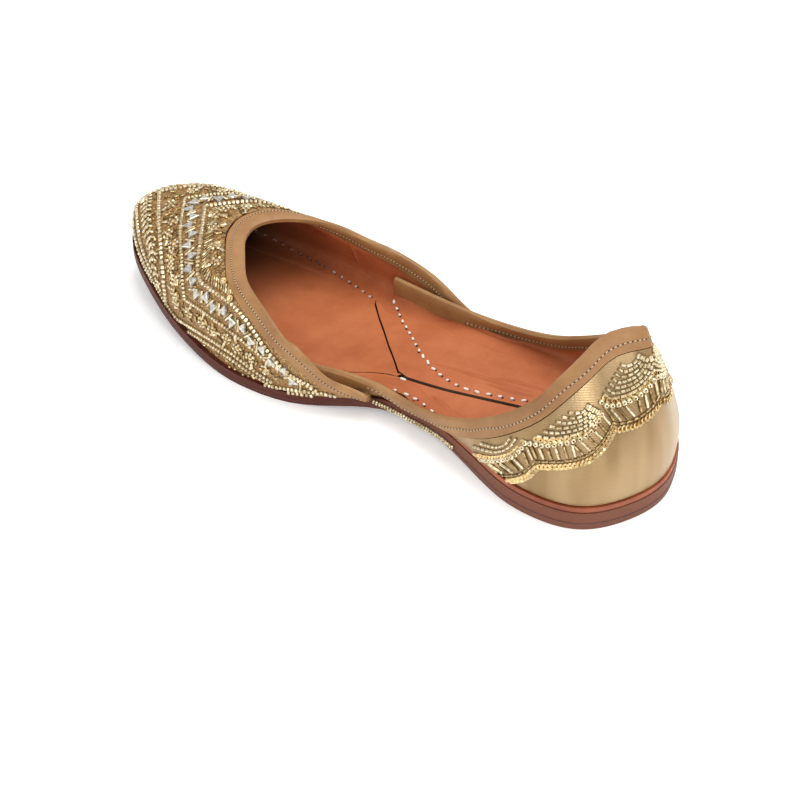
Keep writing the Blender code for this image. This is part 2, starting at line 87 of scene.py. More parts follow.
BAND_LINE = (
    (192, 203), (191, 224), (190, 245), (190.5, 265), (192, 287), (203, 297), (222, 311),
    (240, 326), (258, 346), (276, 365), (294, 380),
)
BARS_LINE = (
    (213, 207), (212, 222), (209, 240), (206, 257), (206, 275), (217, 283), (233, 293),
    (247, 304),
)
SCATTER = (
    (171, 205), (174, 222), (169, 235), (175, 245), (172, 258), (172, 268), (176, 280),
    (175, 293), (177, 303), (190, 312), (203, 322), (213, 330), (228, 338), (238, 348),
    (251, 357), (266, 369), (216, 247), (217, 262), (214, 228), (214, 216),
)
SEQUINS = ((224, 281.6), (217.4, 245.0), (231, 299))

# Grounds filled with small beads
MIDDLE_GROUND = (
    (164, 193), (182, 200), (180, 245), (183, 289), (187, 304), (215, 323), (262, 362),
    (284, 380), (268, 376), (240, 357), (206, 331), (185, 317), (172, 300), (166, 270),
    (163, 235),
)
LOWER_GROUND = (
    (172, 310), (186, 328), (212, 348), (245, 371), (268, 383), (250, 377), (222, 362),
    (198, 342),
)
TOE_GROUND = (
    (142, 198), (157, 193), (158, 235), (163, 290), (168, 306), (158, 288), (148, 258),
    (143, 230),
)
THROAT_GROUND = (
    (217, 205), (232, 203), (226, 222), (222, 245), (224, 264), (236, 290), (252, 314),
    (240, 303), (225, 289), (216, 272), (215, 250), (215, 225),
)

# Embroidery of the quarter: one row for each scallop, from the waist to the back
RINGS = (
    ((462, 452), (476.7, 457), (493, 461), (510, 458), (520, 451.7), (526, 442.5)),
    ((531, 443), (541, 444.7), (550, 445), (563, 443), (576, 440), (587, 435), (595, 426),
     (601, 414)),
    ((601, 402), (606, 406.5), (620, 404), (636, 397.5), (648, 386.7), (655, 376.7), (658, 366)),
)
HEMS = (
    ((466, 463), (485, 471.7), (498, 478), (512, 480.8), (526.7, 477.5), (536.7, 468)),
    ((540, 466), (553, 466.7), (566.7, 465.8), (580, 464), (593, 458), (603, 448), (610, 437),
     (614, 429)),
    ((619, 429), (633, 426.7), (646.7, 418), (656, 409), (661, 396.7)),
)
FAN_TOPS = ((498, 437), (583, 404), (631, 352))
FAN_SHARES = (
    (0.62, 0.42),
    (0.82, 0.70, 0.58, 0.46, 0.34, 0.22),
    (0.86, 0.76, 0.66, 0.56, 0.46, 0.36, 0.26),
)
SEQUIN_SHARE = 0.90
WAIST_CHAIN = (
    (374, 401), (384, 405.5), (395, 411), (410, 419), (425, 427), (440, 436), (453, 447),
)
CHAIN_SEED = 1.15 * MM

# Stitching
FLOOR_STITCHES = (
    ((256, 230), (300, 254), (324, 266), (345, 279.5), (363, 292), (376, 301)),
    ((394, 302), (402, 321), (411, 336), (421, 355), (437, 373.5), (451, 383), (466, 390),
     (484, 394), (509, 399), (536, 403)),
    ((371, 387), (388, 389), (403, 393), (419, 401), (431, 411), (442, 417)),
)
APEX_STITCH = (403, 379.5)
STITCH_SHADE_FROM = (0.026, 0.048)  # further to the toe than these the stitches carry painted shade: dull, then dark

# Folds of the worn lining
FOLDS = (
    ((430, 363), (451, 368), (466, 373), (487, 379), (516, 388), (537, 393)),
    ((486, 377), (509, 380), (530, 386), (549, 392)),
    ((484, 383), (501, 388), (520, 394), (536, 397)),
    ((430, 394), (444, 405), (454, 416)),
    ((571, 368), (585, 377), (596, 381)),
    ((318, 214), (338, 226), (352, 246), (360, 268)),
)
FOLD_WIDTH = 1.3 * MM
FOLD_HIGH = 0.60 * MM
FOLD_SUNK = 0.03 * MM  # its edges lie this far in the leather
SHORTEST_FOLD = 6  # in steps of 1 mm

# Near edge of the V is closed: in front of this point and on the inner side, in metres
CLOSED_SEAM = (-0.0150, 0.0078)
NEAR_SEAM = ((399, 375), (392, 373), (384, 372), (372, 371), (360, 371), (345, 371))

# Turn of the lining: on the wall (height, off the wall), then on the floor (off the wall, height)
TURNED_WALL = ((0.0066, 0.0000), (0.0048, 0.0003), (0.0032, 0.0006), (0.0018, 0.0013))
TURNED_FLOOR = (
    (0.0026, 0.0009), (0.0042, 0.0004), (0.0062, 0.0002), (0.0082, 0.0001), (0.0086, -0.0002),
)

# How the turn of the lining and the lining itself are found, in metres
FLOOR_FIRST = 0.0125  # until a ray has met the footbed
TURN_STEP = 0.0006  # between the rays up the wall
WELD = 1e-6  # corners closer than this are one
HEEL_CUP = 0.05  # behind this the wall curves round the heel
ROOF_START = 0.02  # in front of this the vamp roofs the foot
LINING_OFF = 0.25 * MM

# How lines are laid on the upper, in metres
UPRIGHT = Vector((0, 0, 1))
OUTSIDE = 0.1  # a start well outside the shoe
CORE_HIGH = 0.012  # the vamp is turned over a line this high inside it
HEEL_CORE = 0.060  # and the quarter about a line this far from the back
JUMP = 0.004  # a longer step cuts a line in two
MEETING = 0.006  # ends closer than this are joined
TOE_FRONT = 0.045  # in front of this a line is carried over the toe
TOE_BRIDGE = (0.002, 0.062)  # where its gap is between these
CUT_RISES = [math.radians(2 + 0.5 * step) for step in range(150)]

# Sizes of the trimmings in metres, a bugle's as (long, wide)
SEED = 1.50 * MM
BUGLE = (3.0 * MM, 1.05 * MM)
BAR = (3.9 * MM, 0.80 * MM)
LONG_BUGLE = (4.4 * MM, 1.0 * MM)
HEM_BUGLE = (2.3 * MM, 0.85 * MM)
FAN_BUGLES = (((1.8 * MM, 1.0 * MM), 2.1 * MM), ((1.45 * MM, 1.05 * MM), 1.75 * MM))
# dark threads between the fans' bead rows: partly laid ground thread, partly painted shade
FAN_THREADS_AND_SHADE = (2.8 * MM, 1.9 * MM)
SEQUIN = 2.4 * MM
RING = 2.0 * MM
MIRROR = 4.9 * MM
MIRROR_PITCH = 5.1 * MM
GROUND_PITCH = 5.0  # in picture units
STITCH_PITCH = 4.1 * MM
SEAM_WIDE = 0.52 * MM
QUARTER_SEAM = 4.9 * MM  # stitch line below the binding's top edge
VAMP_SEAM = 3.7 * MM
SHORTEST_SEAM = 14 * MM  # shorter parts of a stitch line are left out
TWIN_REACH = 11 * MM  # from the mirror place of a trimming to its twin, at most

# Where a look changes, in millimetres along the shoe
TOE_PAINTED_SHADE_SPAN = (46.0, 84.0)  # painted shade inside the toe: the leather darkens towards the front
FABRIC_CHANGE = (-14.4, -10.4)  # satin behind, gold ground in front
HEEL_TONE_SPAN = (0.0, -50.0)  # the sole's edge takes another tone towards the heel

# Light
FLOOR_GLOW = 0.16
WORLD_GLOW = 0.62
LIGHTS = (
    ("key", (-0.20, -0.30, 1.05), (1.1, 1.0), 13.0, (1, 0.99, 0.97)),
    ("sheen", (-0.88, 0.62, 0.50), (0.35, 0.6), 4.5),
    ("front", (0.55, 0.85, 0.60), (0.8, 0.6), 4.0),
)


def srgb(red, green, blue):
    """Linear colour of a screen colour from 0 to 255."""
    return tuple(((c / 255 + 0.055) / 1.055) ** 2.4 if c > 10 else c / 255 / 12.92
                 for c in (red, green, blue))


def grey(value):
    return (value,) * 3


BLACK, WHITE = grey(0.0), grey(1.0)


# Camera and rays
def view_axes():
    turn, rise = math.radians(VIEW_TURN), math.radians(VIEW_RISE)
    flat = math.cos(rise)
    back = Vector((-math.sin(turn) * flat, math.cos(turn) * flat, math.sin(rise)))
    right = back.cross(Vector((0, 0, -1))).normalized()
    return VIEW_TARGET + back * VIEW_DISTANCE, right, back.cross(right), -back


EYE, RIGHT, UP, AHEAD = view_axes()


def add_camera():
    data = bpy.data.cameras.new("Camera")
    data.sensor_width = SENSOR
    data.lens = FOCAL_PIXELS / PICTURE * SENSOR
    camera = bpy.data.objects.new("Camera", data)
    camera.location = EYE
    camera.rotation_euler = AHEAD.to_track_quat("-Z", "Y").to_euler()
    bpy.context.scene.collection.objects.link(camera)
    bpy.context.scene.camera = camera


def tree_of(*names):
    """One search tree over the faces of these CAD nodes."""
    points, faces = [], []
    for name in names:
        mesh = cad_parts[name].data
        start = len(points)
        points += [vert.co.copy() for vert in mesh.vertices]
        faces += [[start + i for i in face.vertices] for face in mesh.polygons]
    return BVHTree.FromPolygons(points, faces)


UPPER_TREE = tree_of("upper")
BINDING_TREE = tree_of("vamp_binding", "quarter_binding")
VAMP_BINDING_TREE = tree_of("vamp_binding")
QUARTER_BINDING_TREE = tree_of("quarter_binding")
FLOOR_TREE = tree_of("insole", "flap_left", "flap_right")
OUTSOLE_TREE = tree_of("outsole")
WAIST_TREE = tree_of("upper", "vamp_binding", "quarter_binding", "rand", "outsole")
LIFT_FRONT = max(vert.co.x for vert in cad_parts["heel_lift"].data.vertices)


def outline_of(name):
    """Left and right edge of a node as functions of x."""
    points = np.array([vert.co[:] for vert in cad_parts[name].data.vertices])
    stations = np.unique(points[:, 0].round(5))
    left = [points[abs(points[:, 0] - x) < 2e-5, 1].max() for x in stations]
    right = [points[abs(points[:, 0] - x) < 2e-5, 1].min() for x in stations]
    return stations, np.array(left), np.array(right)


SOLE_X, SOLE_LEFT, SOLE_RIGHT = outline_of("outsole")
HEEL_X = SOLE_X[0]
HEEL_Y = 0.5 * (SOLE_LEFT[0] + SOLE_RIGHT[0])


def middle_y(x):
    return float(np.interp(x, SOLE_X, (SOLE_LEFT + SOLE_RIGHT) / 2))


def pixel_ray(spot):
    across, down = spot[0] - PICTURE / 2, spot[1] - PICTURE / 2
    return (AHEAD * FOCAL_PIXELS + RIGHT * across - UP * down).normalized()


def cast(tree, start, ray):
    """(place, normal towards the start) of the first face met, or None."""
    place, normal, _, _ = tree.ray_cast(start, ray)
    if place is None:
        return None
    return place, (normal if normal.dot(ray) < 0 else -normal)


def resample(points, step):
    """Points of an open line, evenly spaced about step apart."""
    points = np.asarray(points, float)
    lengths = np.linalg.norm(np.diff(points, axis=0), axis=1)
    along = np.concatenate([[0], np.cumsum(lengths)])
    count = max(2, int(round(along[-1] / step)) + 1)
    places = np.linspace(0, along[-1], count)
    return np.stack([np.interp(places, along, column) for column in points.T], axis=1)


def rounded(spots, turns=3):
    """The line with its corners cut, so that it bends smoothly."""
    spots = np.asarray(spots, float)
    for _ in range(turns):
        inner = np.stack([spots[:-1] * 0.75 + spots[1:] * 0.25,
                          spots[:-1] * 0.25 + spots[1:] * 0.75], axis=1)
        spots = np.concatenate([spots[:1], inner.reshape(-1, spots.shape[1]), spots[-1:]])
    return spots


def on_fabric(start, ray):
    """Where a ray meets the upper, unless a binding is in its way."""
    hit, edge = cast(UPPER_TREE, start, ray), cast(BINDING_TREE, start, ray)
    if hit and edge and (edge[0] - start).length < (hit[0] - start).length:
        return None
    return hit


def inner_side(place):
    return place.y >= middle_y(place.x)


def on_near(spots):
    """The picture line laid on the inner side, which the camera sees."""
    hits = [on_fabric(EYE, pixel_ray(spot)) for spot in resample(rounded(spots), 1.2)]
    return [hit for hit in hits if hit and inner_side(hit[0]) and hit[1].dot(AHEAD) < 0]


def over_vamp(hits):
    """The same line on the outer side of the vamp: each point is turned over the middle."""
    found = []
    for place, _ in hits:
        middle = middle_y(place.x)
        core = Vector((place.x, middle, CORE_HIGH))
        spoke = place - core
        spoke.y = -spoke.y
        spoke.normalize()
        hit = on_fabric(core + spoke * OUTSIDE, -spoke)
        if not hit or inner_side(hit[0]) or hit[1].dot(spoke) <= 0.2:
            continue
        twin = Vector((place.x, 2 * middle - place.y, place.z))
        if (hit[0] - twin).length < TWIN_REACH:
            found.append(hit)
    return found


def over_quarter(hits):
    """The same line on the outer side of the quarter."""
    found = []
    for place, _ in hits:
        core = Vector((HEEL_X + HEEL_CORE, HEEL_Y, place.z))
        spoke = Vector((place.x, 2 * HEEL_Y - place.y, place.z)) - core
        spoke.normalize()
        hit = on_fabric(core + spoke * OUTSIDE, -spoke)
        if hit and hit[0].y < HEEL_Y:
            found.append(hit)
    return found


def parts_of(hits, gap=JUMP):
    """The line cut where it jumps, for a ray that missed."""
    found = [[]]
    for hit in hits:
        if found[-1] and (hit[0] - found[-1][-1][0]).length > gap:
            found.append([])
        found[-1].append(hit)
    return [part for part in found if len(part) > 3]


def bridge(start, end):
    """The line carried over the toe from one side to the other."""
    middle = (start + end) / 2
    core = Vector((middle.x - 0.030, middle_y(middle.x), middle.z - 0.012))
    steps = int((end - start).length / 0.0012)
    found = []
    for step in range(1, steps):
        spot = start.lerp(end, step / steps)
        ray = (core - spot).normalized()
        found.append(on_fabric(spot - ray * 0.05, ray))
    return [hit for hit in found if hit]


def both_sides(spots, over):
    """The near line and its mirror, joined where they meet in the shoe's middle."""
    near = on_near(spots)
    far = over(near)
    if near and far:
        gap = (near[0][0] - far[0][0]).length
        toe = over is over_vamp and near[0][0].x > TOE_FRONT
        if toe and TOE_BRIDGE[0] < gap < TOE_BRIDGE[1]:
            return parts_of(far[::-1] + bridge(far[0][0], near[0][0]) + near)
        if gap < MEETING:
            return parts_of(far[::-1] + near)
        if (near[-1][0] - far[-1][0]).length < MEETING:
            return parts_of(near + far[::-1])
    return parts_of(near) + parts_of(far)


def on_vamp(spots):
    return both_sides(spots, over_vamp)


def on_quarter(spots):
    return both_sides(spots, over_quarter)


def edge_line(tree, core, turns, below, inside=False):
    """A line on a binding, this far below its top edge, from upright cuts through a core point."""
    found = []
    for turn in turns:
        flat = Vector((math.cos(turn), math.sin(turn), 0))
        cut = []
        for rise in CUT_RISES:
            ray = flat * math.cos(rise) + Vector((0, 0, math.sin(rise)))
            hit = cast(tree, core, ray) if inside else cast(tree, core + ray * 0.3, -ray)
            if hit and (hit[0] - core).dot(flat) > 0:
                cut.append(hit)
        if len(cut) < 3:
            continue
        far = 0.0
        for upper_hit, lower_hit in zip(cut[::-1], cut[-2::-1]):
            far += (upper_hit[0] - lower_hit[0]).length
            if far >= below:
                found.append(lower_hit)
                break
    smooth = []
    for part in parts_of(found, 3 * JUMP):
        if sum((b[0] - a[0]).length for a, b in zip(part, part[1:])) < SHORTEST_SEAM:
            continue
        line = np.array([hit[0][:] for hit in part])
        for _ in range(6):
            line[1:-1] = (line[:-2] + line[1:-1] * 2 + line[2:]) / 4
        placed = [tree.find_nearest(Vector(spot)) for spot in line]
        smooth.append([(spot, normal if normal.dot(hit[1]) > 0 else -normal)
                       for (spot, normal, _, _), hit in zip(placed, part)])
    return smooth


def spaced(hits, pitch):
    """Evenly spaced (place, along, out) on a line of hits."""
    if len(hits) < 4:
        return []
    line = resample(np.array([[*place, *normal] for place, normal in hits]), pitch / 6)
    lengths = np.linalg.norm(np.diff(line[:, :3], axis=0), axis=1)
    along = np.concatenate([[0], np.cumsum(lengths)])
    count = max(1, int(along[-1] / pitch))
    found = []
    for i in range(count + 1):
        at = i * along[-1] / count
        spot = np.array([np.interp(at, along, line[:, k]) for k in range(6)])
        ahead = np.array([np.interp(at + pitch / 2, along, line[:, k]) for k in range(3)])
        behind = np.array([np.interp(at - pitch / 2, along, line[:, k]) for k in range(3)])
        out = Vector(spot[3:]).normalized()
        way = Vector(ahead - behind)
        way = (way - out * way.dot(out)).normalized()
        found.append((Vector(spot[:3]), way, out))
    return found


# Shapes of the trimmings: corners and faces of one, one unit long along X, lying on Z = 0
def turned(profile, sides):
    """A profile of (along X, radius) turned about X, with closed ends."""
    corners, faces = [], []
    for at, radius in profile:
        for i in range(sides):
            angle = 2 * math.pi * i / sides
            corners.append((at, radius * math.cos(angle), radius * math.sin(angle)))
    for ring in range(len(profile) - 1):
        for i in range(sides):
            j = (i + 1) % sides
            low, high = ring * sides, (ring + 1) * sides
            faces.append((low + i, low + j, high + j, high + i))
    last = (len(profile) - 1) * sides
    faces += [tuple(reversed(range(sides))), tuple(range(last, last + sides))]
    return np.array(corners), faces


def ring_shape(outer, inner, thick, cupped=0.0, sides=12):
    """A flat ring round Z: a sequin, or with thick near its width a round bead."""
    corners, faces = [], []
    rows = ((inner, 0.0), (inner, thick), ((inner + outer) / 2, thick * 1.15 + cupped * 0.4),
            (outer, thick * 0.8 + cupped), (outer, cupped))
    for radius, high in rows:
        for i in range(sides):
            angle = 2 * math.pi * i / sides
            corners.append((radius * math.cos(angle), radius * math.sin(angle), high))
    for row in range(len(rows)):
        for i in range(sides):
            j = (i + 1) % sides
            low, high = row * sides, (row + 1) % len(rows) * sides
            faces.append((low + j, low + i, high + i, high + j))
    return np.array(corners), faces


SEED_SHAPE = turned(((-0.42, 0.22), (-0.26, 0.46), (0.26, 0.46), (0.42, 0.22)), 7)
BUGLE_SHAPE = turned(((-0.5, 0.36), (-0.46, 0.5), (0.46, 0.5), (0.5, 0.36)), 6)
STITCH_SHAPE = turned(((-0.5, 0.15), (-0.4, 0.42), (-0.15, 0.5), (0.15, 0.5), (0.4, 0.42),
                       (0.5, 0.15)), 7)
SEQUIN_SHAPE = ring_shape(0.5, 0.14, 0.10, cupped=0.08)
RING_SHAPE = ring_shape(0.5, 0.17, 0.48)
MIRROR_SHAPE = (
    np.array([(-0.5, -0.29, 0), (0.5, -0.29, 0), (0, 0.58, 0), (-0.45, -0.26, 0.13),
              (0.45, -0.26, 0.13), (0, 0.52, 0.13), (-0.30, -0.17, 0.17), (0.30, -0.17, 0.17),
              (0, 0.35, 0.17)]),
    [(0, 1, 4, 3), (1, 2, 5, 4), (2, 0, 3, 5), (3, 4, 7, 6), (4, 5, 8, 7), (5, 3, 6, 8),
     (6, 7, 8)],
)

def strew(name, shape, places, material, smooth=True):
    """One mesh of many copies of a shape, each at (place, along, out, long, wide)."""
    corners, faces = shape
    points, polygons = [], []
    for i, (place, way, out, long, wide) in enumerate(places):
        basis = np.array([way[:], out.cross(way)[:], out[:]])
        points.append((corners * (long, wide, wide)) @ basis + np.array(place[:]))
        polygons += [tuple(i * len(corners) + k for k in face) for face in faces]
    mesh = bpy.data.meshes.new(name)
    mesh.from_pydata(np.concatenate(points).tolist(), [], polygons)
    mesh.validate()
    if smooth:
        mesh.shade_smooth()
        mesh.set_sharp_from_angle(angle=math.radians(50))
    mesh.materials.append(material)
    add_piece(name, mesh)


def add_piece(name, mesh):
    piece = bpy.data.objects.new(name, mesh)
    bpy.context.scene.collection.objects.link(piece)
    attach(piece, "root")


def add_sheet(name, points, faces, material, smooth=True):
    """A surface from its points and faces, as one piece."""
    mesh = bpy.data.meshes.new(name)
    mesh.from_pydata([tuple(point) for point in points], [], faces)
    if smooth:
        mesh.shade_smooth()
    mesh.materials.append(material)
    add_piece(name, mesh)


def turned_by(way, out, angle):
    """The direction turned about the surface's normal."""
    side = out.cross(way)
    return (way * math.cos(angle) + side * math.sin(angle)).normalized()


def tossed(spot, wobble=0.12):
    """A place with a little of a hand's unevenness."""
    place, way, out = spot
    side = out.cross(way)
    lean = out + way * random.uniform(-wobble, wobble) + side * random.uniform(-wobble, wobble)
    lean.normalize()
    turn = turned_by(way, lean, random.uniform(-wobble, wobble))
    turn = (turn - lean * turn.dot(lean)).normalized()
    return place, turn, lean


# Materials
def new_material(name):
    material = bpy.data.materials.new(name)
    material.use_nodes = True
    tree = material.node_tree
    return material, tree, tree.nodes["Principled BSDF"]


def fill(made, values):
    """Sets a node's inputs and settings by name; a value that is a socket is linked."""
    for key, value in values.items():
        if key not in made.inputs:
            setattr(made, key, value)
        elif isinstance(value, bpy.types.NodeSocket):
            made.id_data.links.new(value, made.inputs[key])
        else:
            made.inputs[key].default_value = value
    return made


def node(tree, kind, **values):
    return fill(tree.nodes.new(kind), values)


def place_of(tree, scale=(1, 1, 1)):
    """Position in millimetres of the object, stretched by scale."""
    coordinates = tree.nodes.new("ShaderNodeTexCoord")
    return node(tree, "ShaderNodeMapping", Vector=coordinates.outputs["Object"],
                Scale=[1000 * s for s in scale]).outputs["Vector"]


def noise(where, scale, detail=3.0, rough=0.5):
    return node(where.id_data, "ShaderNodeTexNoise", Vector=where, Scale=scale, Detail=detail,
                Roughness=rough).outputs["Fac"]


def along_shoe(where):
    """The X part of a position."""
    return node(where.id_data, "ShaderNodeSeparateXYZ", Vector=where).outputs["X"]


def faded(value, start, end):
    """From 0 to 1 as the value goes from start to end."""
    limits = {"From Min": start, "From Max": end}
    return node(value.id_data, "ShaderNodeMapRange", Value=value, **limits).outputs["Result"]


def ramp(factor, stops):
    made = node(factor.id_data, "ShaderNodeValToRGB", Fac=factor)
    elements = made.color_ramp.elements
    for element, (at, colour) in ((elements[0], stops[0]), (elements[-1], stops[-1])):
        element.position, element.color = at, (*colour, 1)
    for at, colour in stops[1:-1]:
        elements.new(at).color = (*colour, 1)
    return made.outputs["Color"]


def blend(tree, factor, first, second, kind="MIX"):
    made = tree.nodes.new("ShaderNodeMix")
    made.data_type = "RGBA"
    made.blend_type = kind
    for value, at in ((factor, 0), (first, 6), (second, 7)):
        if isinstance(value, bpy.types.NodeSocket):
            tree.links.new(value, made.inputs[at])
        else:
            made.inputs[at].default_value = (*value, 1) if isinstance(value, tuple) else value
    return made.outputs[2]


def bump(height, strength, distance, below=None):
    made = node(height.id_data, "ShaderNodeBump", Height=height, Strength=strength,
                Distance=distance)
    if below:
        fill(made, {"Normal": below})
    return made.outputs["Normal"]


def leather(name, dark, light, roughness, grain=0.25, shine=0.5, toe_painted_shade=1.0):
    """Smooth leather: cloudy colour, fine grain and faint creases, and where asked, painted shade
    darkening it towards the toe.
    """
    material, tree, shader = new_material(name)
    where = place_of(tree)
    colour = ramp(noise(where, 0.06, 4.0, 0.6), ((0.3, dark), (0.7, light)))
    pores = node(tree, "ShaderNodeTexVoronoi", Vector=where, Scale=1.6).outputs["Distance"]
    pits = ramp(pores, ((0.0, grey(0.2)), (0.5, WHITE)))
    colour = blend(tree, 0.10, colour, pits, "MULTIPLY")
    # Painted shade: the colour darkens towards the toe, where the vamp's roof shades the inside of
    # the shoe.
    if toe_painted_shade < 1:
        front = faded(along_shoe(where), *TOE_PAINTED_SHADE_SPAN)
        shaded = ramp(front, ((0.0, WHITE), (1.0, grey(toe_painted_shade))))
        colour = blend(tree, 1.0, colour, shaded, "MULTIPLY")
    rough = ramp(noise(where, 0.35),
                 ((0.3, grey(roughness - 0.07)), (0.7, grey(roughness + 0.08))))
    normal = bump(pores, grain, 0.00012)
    normal = bump(noise(where, 0.22, 3.0), grain * 0.8, 0.0006, normal)
    fill(shader, {"Base Color": colour, "Roughness": rough, "Normal": normal,
                  "Specular IOR Level": shine})
    return material


def upper_fabric():
    """Ribbed satin on the quarter with painted sheen bands, and a ground of couched gold thread on
    the vamp.
    """
    material, tree, shader = new_material("upper_fabric")
    vamp = faded(along_shoe(place_of(tree)), *FABRIC_CHANGE)
    ribs = node(tree, "ShaderNodeTexWave", Vector=place_of(tree, (0.12, 0.12, 1)),
                bands_direction="Z", Scale=0.42, Distortion=1.2, Detail=2.0,
                **{"Detail Scale": 1.5})
    cross = node(tree, "ShaderNodeTexWave", Vector=place_of(tree, (1, 1, 0.1)),
                 bands_direction="DIAGONAL", Scale=1.1, Distortion=0.6)
    satin = ramp(ribs.outputs["Fac"],
                 ((0.0, srgb(146, 118, 77)), (0.6, srgb(158, 130, 88))))
    # Painted sheen: soft upright bands, lighter and darker, laid into the satin's colour.
    painted_sheen = ramp(noise(place_of(tree, (1.0, 1.0, 0.12)), 0.075, 2.0),
                 ((0.36, srgb(130, 103, 65)), (0.62, srgb(184, 157, 119))))
    satin = blend(tree, 0.55, satin, painted_sheen)
    thread = node(tree, "ShaderNodeTexNoise", Vector=place_of(tree, (1.0, 0.35, 1.6)),
                  Scale=1.5, Detail=4.0)
    lie = thread.outputs["Fac"]
    ground = ramp(lie, ((0.28, srgb(78, 54, 26)), (0.5, srgb(140, 104, 60)),
                              (0.72, srgb(206, 172, 112))))
    rough = ramp(lie, ((0.3, grey(0.62)), (0.7, grey(0.34))))
    high = blend(tree, 0.8, ribs.outputs["Color"], grey(0.5))
    normal = bump(blend(tree, vamp, high, thread.outputs["Color"]), 0.55, 0.0003)
    fill(shader, {
        "Base Color": blend(tree, vamp, satin, ground),
        "Roughness": blend(tree, vamp, grey(0.31), rough),
        "Metallic": blend(tree, vamp, grey(0.55), grey(0.35)),
        "Normal": bump(cross.outputs["Fac"], 0.12, 0.0001, normal),
        "Anisotropic": 0.75,
        "Anisotropic Rotation": 0.25,
        "Tangent": node(tree, "ShaderNodeTangent", direction_type="RADIAL", axis="Z").outputs[0],
    })
    return material


def metal(name, dark, light, roughness, metallic=1.0):
    """Plated or silver-lined beads, each with a slightly different tone."""
    material, tree, shader = new_material(name)
    tone = ramp(noise(place_of(tree), 0.9, 1.0), ((0.35, dark), (0.65, light)))
    fill(shader, {"Base Color": tone, "Metallic": metallic, "Roughness": roughness})
    return material


def thread_material(name, colour):
    """Twisted thread, with painted shade between its strands."""
    material, tree, shader = new_material(name)
    twist = node(tree, "ShaderNodeTexWave", Vector=place_of(tree), Scale=2.0,
                 bands_direction="DIAGONAL").outputs["Fac"]
    strands = ramp(twist, ((0, tuple(c * 0.75 for c in colour)), (1, colour)))
    fill(shader, {"Base Color": strands, "Roughness": 0.7,
                  "Normal": bump(twist, 0.4, 0.0001)})
    return material


def sole_edge(name, dark, light, heel):
    """Burnished edge of a sole: fine layers along it, scuffs, another tone at the heel."""
    material, tree, shader = new_material(name)
    where = place_of(tree)
    layers = noise(place_of(tree, (0.08, 0.08, 1.6)), 1.6, 4.0, 0.65)
    colour = ramp(layers, ((0.3, dark), (0.7, light)))
    back = faded(along_shoe(where), *HEEL_TONE_SPAN)
    colour = blend(tree, back, colour, blend(tree, 0.5, colour, heel))
    scuffs = ramp(noise(place_of(tree, (0.5, 0.5, 1.0)), 0.5, 5.0, 0.7),
                  ((0.55, BLACK), (0.78, grey(0.45))))
    normal = bump(layers, 0.35, 0.0002)
    normal = bump(noise(where, 1.2), 0.2, 0.0002, normal)
    fill(shader, {"Base Color": blend(tree, scuffs, colour, light), "Roughness": 0.55,
                  "Specular IOR Level": 0.22, "Normal": normal})
    return material


def dress_nodes():
    """The CAD nodes that show keep their shape and take a finished material."""
    finishes = {
        "upper": upper_fabric(),
        "outsole": sole_edge("outsole_leather", srgb(56, 24, 17), srgb(96, 46, 30),
                             srgb(136, 88, 66)),
        "heel_lift": sole_edge("lift_leather", srgb(90, 52, 40), srgb(126, 78, 60),
                               srgb(116, 74, 58)),
        "rand": leather("rand_leather", srgb(116, 50, 22), srgb(160, 80, 40), 0.45),
        "vamp_binding": BINDING_LEATHER,
        "quarter_binding": BINDING_LEATHER,
        "insole": FOOTBED_LEATHER,
        "flap_left": FOOTBED_LEATHER,
        "flap_right": FOOTBED_LEATHER,
    }
    for name, material in finishes.items():
        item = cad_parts[name]
        for slot in item.material_slots:
            slot.material = material
        if material is FOOTBED_LEATHER:
            # Upright side faces of the footbed and flaps take a dark colour: partly edge ink,
            # partly painted shade in the slit. The closed near seam keeps the footbed leather.
            item.data.materials.append(EDGE_INK_AND_SLIT_SHADE)
            for face in item.data.polygons:
                closed = face.center.x > CLOSED_SEAM[0] and face.center.y > CLOSED_SEAM[1]
                face.material_index = int(abs(face.normal.z) < 0.4 and not closed)
        item.data.shade_smooth()
        item.modifiers.new("Weld", "WELD").merge_threshold = WELD
        split = item.modifiers.new("Edges", "EDGE_SPLIT")
        split.split_angle = math.radians(42)


BINDING_LEATHER = leather("binding_leather", srgb(128, 88, 46), srgb(156, 114, 68), 0.55,
                          grain=0.35)
# The footbed and the lining take painted shade inside the toe.
FOOTBED_LEATHER = leather("footbed_leather", srgb(156, 82, 46), srgb(176, 102, 62), 0.5,
                          grain=0.12, shine=0.25, toe_painted_shade=0.05)
LINING_LEATHER = leather("lining_leather", srgb(152, 80, 46), srgb(172, 98, 60), 0.55,
                         grain=0.5, shine=0.18, toe_painted_shade=0.05)
PALE_GOLD = metal("pale_gold_bead", srgb(182, 160, 116), srgb(236, 224, 194), 0.30, 0.72)
# Dark olive between the fans' bead rows: partly the ground thread's colour, partly painted shade.
FAN_THREAD_AND_SHADE = leather("fan_thread_and_shade", srgb(92, 70, 36), srgb(128, 100, 56), 0.6)
DEEP_GOLD = metal("gold_sequin", srgb(190, 154, 96), srgb(232, 206, 156), 0.28, 0.85)
OLD_GOLD = metal("old_gold_seed", srgb(140, 106, 58), srgb(200, 166, 108), 0.36, 0.7)
SILVER = metal("silver_mirror", srgb(160, 156, 148), srgb(214, 210, 200), 0.26, 0.6)
BRONZE = metal("bronze_bugle", srgb(122, 98, 60), srgb(186, 162, 116), 0.28, 0.8)
# Dark of the sole's seams, also painted shade at the hand stitches' holes.
SEAM_WAX_AND_HOLE_SHADE = leather("seam_wax_and_hole_shade", srgb(62, 24, 18), srgb(86, 38, 28), 0.5)
